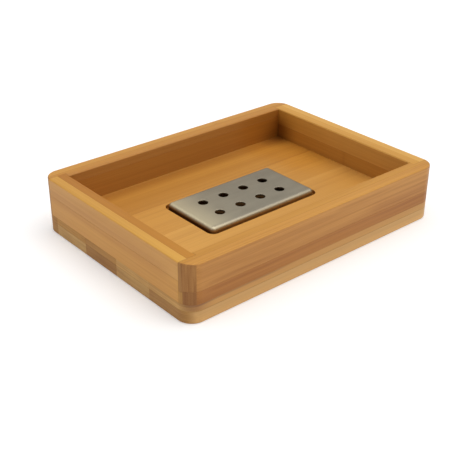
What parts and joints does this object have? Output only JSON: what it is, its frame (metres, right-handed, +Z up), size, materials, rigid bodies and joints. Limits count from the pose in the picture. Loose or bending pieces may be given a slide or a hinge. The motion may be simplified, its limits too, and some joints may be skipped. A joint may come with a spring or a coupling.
{
  "type": "soap dish",
  "caption": "Low rectangular tray of laminated bamboo with a lift-out perforated steel drain plate over a catch well, which keeps a bar of soap out of its water.",
  "frame": {"origin": "centre of the flat underside", "axes": "+X along the long walls to the right, +Y from the front wall to the back wall, +Z up"},
  "size_m": [0.13, 0.095, 0.024],
  "materials": {
    "pale_bamboo": "pale laminated bamboo, sanded and thinly oiled, satin",
    "warm_bamboo": "honey-coloured laminated bamboo, sanded and thinly oiled, satin",
    "amber_bamboo": "amber laminated bamboo, sanded and thinly oiled, satin",
    "brown_bamboo": "browner laminated bamboo, sanded and thinly oiled, satin",
    "drain_plate_steel": "stainless sheet, pressed, with a fine satin brushing along its length"
  },
  "bodies": {
    "tray": {"front_outer_upper_strip": "warm_bamboo", "front_outer_lower_strip": "brown_bamboo", "front_inner_upper_strip": "warm_bamboo", "front_inner_lower_strip": "amber_bamboo", "back_outer_upper_strip": "warm_bamboo", "back_outer_lower_strip": "amber_bamboo", "back_inner_upper_strip": "warm_bamboo", "back_inner_lower_strip": "amber_bamboo", "left_outer_upper_strip": "pale_bamboo", "left_outer_lower_strip": "warm_bamboo", "left_inner_upper_strip": "amber_bamboo", "left_inner_lower_strip": "brown_bamboo", "right_outer_upper_strip": "pale_bamboo", "right_outer_lower_strip": "warm_bamboo", "right_inner_upper_strip": "pale_bamboo", "right_inner_lower_strip": "amber_bamboo", "upper_stave_front": "warm_bamboo", "upper_stave_front_middle": "warm_bamboo", "upper_stave_centre": "warm_bamboo", "upper_stave_back_middle": "amber_bamboo", "upper_stave_back": "amber_bamboo", "lower_stave_front": "pale_bamboo", "lower_stave_front_middle": "warm_bamboo", "lower_stave_centre": "brown_bamboo", "lower_stave_back_middle": "warm_bamboo", "lower_stave_back": "amber_bamboo"},
    "plate": {"drain_plate": "drain_plate_steel"}
  },
  "joints": [
    {"name": "plate_lift", "type": "slide", "parent": "tray", "child": "plate", "axis": [0, 0, 1], "range_m": [0, 0.03]}
  ]
}
